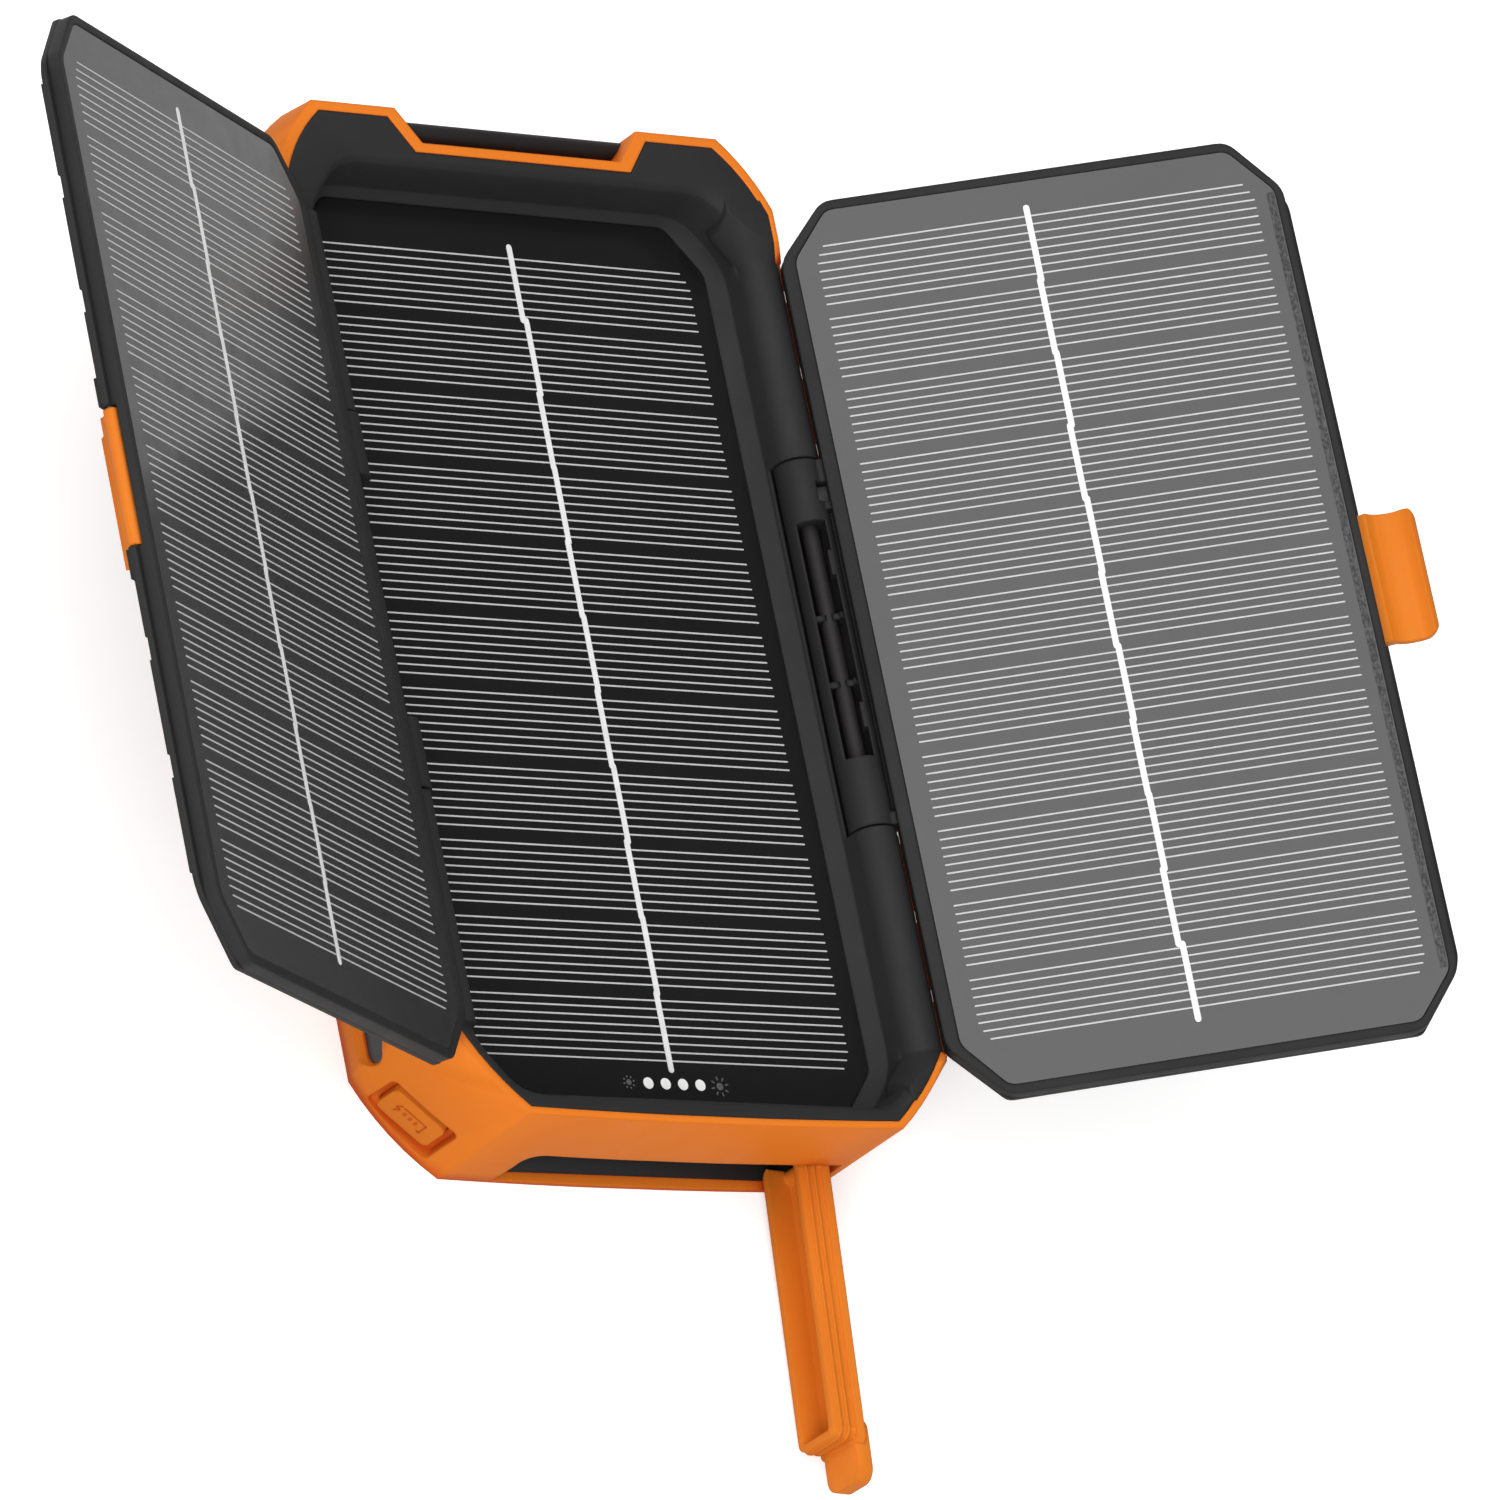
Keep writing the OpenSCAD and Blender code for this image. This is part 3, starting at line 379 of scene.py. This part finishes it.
def add_prism(bm, outline, low, high):
    """A closed solid between two heights above an outline of (x, y) points."""
    bottom = [bm.verts.new((x, y, low)) for x, y in outline]
    top = [bm.verts.new((x, y, high)) for x, y in outline]
    bm.faces.new(list(reversed(bottom)))
    bm.faces.new(top)
    count = len(outline)
    for i in range(count):
        j = (i + 1) % count
        bm.faces.new((bottom[i], bottom[j], top[j], top[i]))


def bar_outline(x0, y0, x1, y1, half_width, round_ends=True, steps=5):
    """Outline of a bar from one point to another, with round or square ends."""
    start, end = Vector((x0, y0)), Vector((x1, y1))
    along = (end - start).normalized()
    heading = math.atan2(along.y, along.x)
    points = []
    for centre, turn in ((end, heading - math.pi / 2), (start, heading + math.pi / 2)):
        span = range(steps + 1) if round_ends else (0, steps)
        for i in span:
            angle = turn + math.pi * i / steps
            points.append((centre.x + half_width * math.cos(angle),
                           centre.y + half_width * math.sin(angle)))
    return points


CELLS = 11
LINES_PER_CELL = 8
LINE_PITCH = 1.42 * MM
LINE_HALF_LENGTH = 35.4 * MM
LINE_HALF_WIDTH = 0.125 * MM
LINE_END_STEPS = 3
CELL_PITCH = 12.5 * MM
TOP_LINE = 67.5 * MM
# How much shorter the first and the second line from either end of the panel are
END_SHORTER = (1.35 * MM, 0.5 * MM)
BUSBAR_HALF_WIDTH = 0.5 * MM
BUSBAR_TOP = (1.9 * MM, 69.5 * MM)
BUSBAR_BOTTOM = (1.1 * MM, -68.9 * MM)
PRINT_HEIGHT = 0.06 * MM
# Neighbouring lengths of the busbar overlap, so their tops lie at two heights
BUSBAR_HEIGHTS = (1.55 * PRINT_HEIGHT, 1.4 * PRINT_HEIGHT)
SIGN_HALF_WIDTH = 0.13 * MM
SIGN_HEIGHT = 0.13 * MM


def grid_lines(bm):
    """Fine silver fingers: eight to a cell, the outermost ones a little shorter."""
    for cell in range(CELLS):
        for line in range(LINES_PER_CELL):
            y = TOP_LINE - cell * CELL_PITCH - line * LINE_PITCH
            from_top = cell * LINES_PER_CELL + line
            from_end = min(from_top, CELLS * LINES_PER_CELL - 1 - from_top)
            half = LINE_HALF_LENGTH - (END_SHORTER[from_end] if from_end < len(END_SHORTER) else 0)
            outline = bar_outline(-half, y, half, y, LINE_HALF_WIDTH, steps=LINE_END_STEPS)
            add_prism(bm, outline, 0, PRINT_HEIGHT)


# How far in mm each length of the busbar stands off the straight line, one for each cell
BUSBAR_SHIFTS = (0.30, -0.28, 0.02, -0.10, 0.12, -0.10, 0.10, -0.14, 0.16, 0.0, 0.22)


def busbar(bm):
    """The wide silver line down the middle, in one length per cell, not quite lined up."""
    top, bottom = Vector(BUSBAR_TOP), Vector(BUSBAR_BOTTOM)
    for cell, shift in enumerate(BUSBAR_SHIFTS):
        start = top.lerp(bottom, cell / CELLS)
        end = top.lerp(bottom, (cell + 1) / CELLS)
        aside = shift * -MM
        outline = bar_outline(start.x + aside, start.y, end.x + aside, end.y, BUSBAR_HALF_WIDTH)
        add_prism(bm, outline, 0, BUSBAR_HEIGHTS[cell % 2])


def disc(x, y, radius, steps=20):
    """Outline of a disc."""
    angles = [math.tau * i / steps for i in range(steps)]
    return [(x + radius * math.cos(angle), y + radius * math.sin(angle)) for angle in angles]


SUN_RAYS = 8
# How far the first ray is turned from the panel's x axis, as a share of the rays' spacing
SUN_TURN = 0.3


def sun(bm, x, y, radius, ray_start, ray_end, ray_half_width):
    """A sun sign: a disc and rays around it."""
    add_prism(bm, disc(x, y, radius), 0, PRINT_HEIGHT)
    for i in range(SUN_RAYS):
        angle = math.tau * (i + SUN_TURN) / SUN_RAYS
        across, up = math.cos(angle), math.sin(angle)
        ray = bar_outline(x + across * ray_start, y + up * ray_start,
                          x + across * ray_end, y + up * ray_end, ray_half_width)
        add_prism(bm, ray, 0, PRINT_HEIGHT)


def light_signs(bm):
    """A small and a large sun at the two ends of the row of status lights."""
    sun(bm, x=-7.6 * MM, y=-71.2 * MM, radius=0.47 * MM,
        ray_start=0.92 * MM, ray_end=0.98 * MM, ray_half_width=0.15 * MM)
    sun(bm, x=9.5 * MM, y=-71.3 * MM, radius=0.62 * MM,
        ray_start=1.15 * MM, ray_end=1.55 * MM, ray_half_width=0.13 * MM)


# The battery's outline and the bolt on the button, as strokes between points in mm
SIGN_STROKES = (
    ((-0.9, -1.7), (-0.9, 2.6)), ((-0.9, 2.6), (1.3, 2.6)), ((1.3, 2.6), (1.3, 2.2)),
    ((-0.9, -2.2), (-0.1, -2.8)), ((-0.1, -2.8), (0.1, -2.1)), ((0.1, -2.1), (1.0, -2.7)),
)
# Where the bars of charge lie along the battery, and how far across it they reach, in mm
CHARGE_BARS = (-1.0, 0.1, 1.2)
CHARGE_BAR_ENDS = (-0.15, 0.55)
CHARGE_BAR_HALF_WIDTH = 0.22 * MM


def button_sign(bm):
    """Raised sign on the button: an open battery outline, three bars of charge and a bolt."""
    for (x0, y0), (x1, y1) in SIGN_STROKES:
        stroke = bar_outline(x0 * MM, y0 * MM, x1 * MM, y1 * MM, SIGN_HALF_WIDTH)
        add_prism(bm, stroke, 0, SIGN_HEIGHT)
    near, far = CHARGE_BAR_ENDS
    for y in CHARGE_BARS:
        charge = bar_outline(near * MM, y * MM, far * MM, y * MM, CHARGE_BAR_HALF_WIDTH,
                             round_ends=False)
        add_prism(bm, charge, 0, SIGN_HEIGHT)


# Vertices this close to the button's outermost one belong to its face
BUTTON_FACE_DEPTH = 0.1 * MM


def button_place():
    """On the button's outer face: x up, y along the face, z out."""
    joint = next(j for j in frame["joints"] if j["name"] == "power_button_press")
    outward = -Vector(joint["axis"]).normalized()
    down = Vector((0, 0, -1))
    along = outward.cross(down)
    verts = [v.co for v in frame["nodes"]["power_button"].data.vertices]
    reach = max(v.dot(outward) for v in verts)
    face = [v for v in verts if v.dot(outward) > reach - BUTTON_FACE_DEPTH]
    centre = sum(face, Vector()) / len(face)
    return Matrix.Translation(centre) @ Matrix((down, along, outward)).transposed().to_4x4()


ROUGH_EDGE_INNER = 37.5 * MM
ROUGH_EDGE_OUTER = 38.75 * MM
ROUGH_EDGE_HALF_LENGTH = 66.4 * MM
ROUGH_EDGE_HEIGHT = 0.03 * MM


def rough_edge(bm):
    """Grained strip along the outer side of a wing's clear sheet."""
    inner, outer, end = ROUGH_EDGE_INNER, ROUGH_EDGE_OUTER, ROUGH_EDGE_HALF_LENGTH
    add_prism(bm, [(inner, -end), (outer, -end), (outer, end), (inner, end)], 0, ROUGH_EDGE_HEIGHT)


def hinge_frame(joint_name, side):
    """Where a wing's own axes lie at rest: x out from its hinge, z out of its face."""
    joint = next(j for j in frame["joints"] if j["name"] == joint_name)
    across = Vector((side * math.cos(WING_RISE), 0, math.sin(WING_RISE)))
    normal = Vector((-side * math.sin(WING_RISE), 0, math.cos(WING_RISE)))
    along = normal.cross(across)
    axis = Vector(joint["pos_m"])
    return axis, across, along, normal


def wing_place(side):
    """Centre of a wing's clear sheet, on its front face."""
    name = "right" if side > 0 else "left"
    axis, across, along, normal = hinge_frame(name + "_wing_hinge", side)
    sheet = frame["nodes"][name + "_wing_sheet"].data.vertices
    reach = [(v.co - axis).dot(across) for v in sheet]
    lift = max((v.co - axis).dot(normal) for v in sheet)
    centre = axis + across * (min(reach) + max(reach)) / 2 + normal * lift
    centre.y = 0
    turned = Matrix((across, along, normal)).transposed().to_4x4()
    return Matrix.Translation(centre) @ turned


# The print on the right wing lies a little along from the middle of its sheet
RIGHT_PRINT_SHIFT = Matrix.Translation((0, 0.93 * MM, 0))
# The left wing's busbar stands off the middle of its lines, in mm aside and along
LEFT_BUSBAR_SHIFT = (-2.4, 0.5)

center_place = Matrix.Translation((0, 0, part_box("center_panel_sheet")[1].z))
half_turn = Matrix.Rotation(math.pi, 4, "Z")
panels = (
    ("center", "case", center_place, (0, 0)),
    ("right_wing", "right_wing", wing_place(1) @ RIGHT_PRINT_SHIFT @ half_turn, (0, 0)),
    ("left_wing", "left_wing", wing_place(-1) @ half_turn, LEFT_BUSBAR_SHIFT),
)
for name, body, place, (aside, along) in panels:
    new_piece(name + "_grid_lines", grid_lines, silver, body, place)
    new_piece(name + "_busbar", busbar, busbar_silver, body,
              place @ Matrix.Translation((aside * MM, along * MM, 0)))
new_piece("status_light_signs", light_signs, grey_ink, "case", center_place)
new_piece("button_battery_sign", button_sign, sign_orange, "power_button",
          button_place())
new_piece("right_wing_rough_edge", rough_edge, grained_edge, "right_wing",
          wing_place(1))


# ---------------------------------------------------------------- stage

LIGHT_TARGET = Vector((0.03, 0, 0.03))


def area_light(name, toward, distance, size, power):
    """A soft light that shines at the object from the given direction."""
    light = bpy.data.lights.new(name, "AREA")
    light.shape = "RECTANGLE"
    light.size, light.size_y = size
    light.energy = power
    lamp = bpy.data.objects.new(name, light)
    direction = Vector(toward).normalized()
    lamp.location = LIGHT_TARGET + direction * distance
    lamp.rotation_euler = direction.to_track_quat("Z", "Y").to_euler()
    bpy.context.scene.collection.objects.link(lamp)


FLOOR_HALF_SIZE = 6
# Colour that the floor shows to light bounced off the object
FLOOR_DIM = (0.45, 0.45, 0.45)
FLOOR_GLOW = 0.4


def pale_floor():
    """A floor that looks white but throws only a little light back up at the object."""
    s = Shader("pale_floor")
    path = s.node("ShaderNodeLightPath")
    seen = s.node("ShaderNodeMath", operation="MAXIMUM")
    s.join(path.outputs["Is Camera Ray"], seen.inputs[0])
    s.join(path.outputs["Is Glossy Ray"], seen.inputs[1])
    white = s.ramp(s.noise(6, detail=3), 0.3, 0.7, (0.93, 0.93, 0.93), (0.95, 0.95, 0.95))
    s.colour(s.blend(seen.outputs["Value"], FLOOR_DIM, white))
    s.rough(s.fit(s.noise(40, detail=3), 0.3, 0.7, 0.75, 0.85))
    s.bsdf.inputs["Emission Color"].default_value = (1, 1, 1, 1)
    glow = s.fit(path.outputs["Is Camera Ray"], 0, 1, 0, FLOOR_GLOW)
    s.join(glow, s.bsdf.inputs["Emission Strength"])
    bm = bmesh.new()
    bmesh.ops.create_grid(bm, x_segments=8, y_segments=8, size=FLOOR_HALF_SIZE)
    mesh = bpy.data.meshes.new("floor")
    bm.to_mesh(mesh)
    bm.free()
    mesh.materials.append(s.material)
    floor = bpy.data.objects.new("floor", mesh)
    bpy.context.scene.collection.objects.link(floor)


# How squarely a direction faces the dim one where the dimming starts and where it is full
DIM_START, DIM_FULL = 0.6, 1.0


def studio_world(bright, dim, dim_toward):
    """Even soft light all round, dimmer in one direction."""
    world = bpy.data.worlds.new("studio")
    world.use_nodes = True
    tree = world.node_tree
    background = tree.nodes["Background"]
    background.inputs["Color"].default_value = (1, 1, 1, 1)
    coords = tree.nodes.new("ShaderNodeTexCoord")
    aim = tree.nodes.new("ShaderNodeVectorMath")
    aim.operation = "DOT_PRODUCT"
    aim.inputs[1].default_value = Vector(dim_toward).normalized()
    fade = tree.nodes.new("ShaderNodeMapRange")
    fade.interpolation_type = "SMOOTHSTEP"
    for key, amount in zip(MAP_INPUTS, (DIM_START, DIM_FULL, bright, dim)):
        fade.inputs[key].default_value = amount
    tree.links.new(coords.outputs["Generated"], aim.inputs[0])
    tree.links.new(aim.outputs["Value"], fade.inputs["Value"])
    tree.links.new(fade.outputs["Result"], background.inputs["Strength"])
    bpy.context.scene.world = world


CAMERA_AZIMUTH = math.radians(-60.01)
CAMERA_ELEVATION = math.radians(47.21)
CAMERA_ROLL = math.radians(55.39)
CAMERA_DISTANCE = 1.9337
CAMERA_AIM = Vector((0.0284, -0.0145, 0.0161))
# Both in millimetres, as camera makers give them
CAMERA_LENS = 298.7
CAMERA_SENSOR = 36


def make_camera():
    """The photograph's view: far away, high on the left and rolled."""
    level = math.cos(CAMERA_ELEVATION)
    back = Vector((math.sin(CAMERA_AZIMUTH) * level, -math.cos(CAMERA_AZIMUTH) * level,
                   math.sin(CAMERA_ELEVATION)))
    data = bpy.data.cameras.new("camera")
    data.sensor_width = CAMERA_SENSOR
    data.lens = CAMERA_LENS
    data.clip_start, data.clip_end = 0.1, 50
    camera = bpy.data.objects.new("camera", data)
    side = Vector((0, 0, 1)).cross(back).normalized()
    up = back.cross(side)
    right = side * math.cos(CAMERA_ROLL) + up * math.sin(CAMERA_ROLL)
    top = back.cross(right)
    camera.matrix_world = Matrix.Translation(CAMERA_AIM + back * CAMERA_DISTANCE) @ \
        Matrix((right, top, back)).transposed().to_4x4()
    bpy.context.scene.collection.objects.link(camera)
    bpy.context.scene.camera = camera


pale_floor()
studio_world(bright=0.82, dim=0.12, dim_toward=(0.588, 0.34, 0.734))
area_light("key", toward=(-0.34, 0.34, 0.88), distance=1.2, size=(1.0, 1.0), power=7)
area_light("front", toward=(-0.7, -0.62, 0.6), distance=2.3, size=(1.2, 1.2), power=27)
make_camera()
bpy.context.scene.view_settings.view_transform = "Standard"
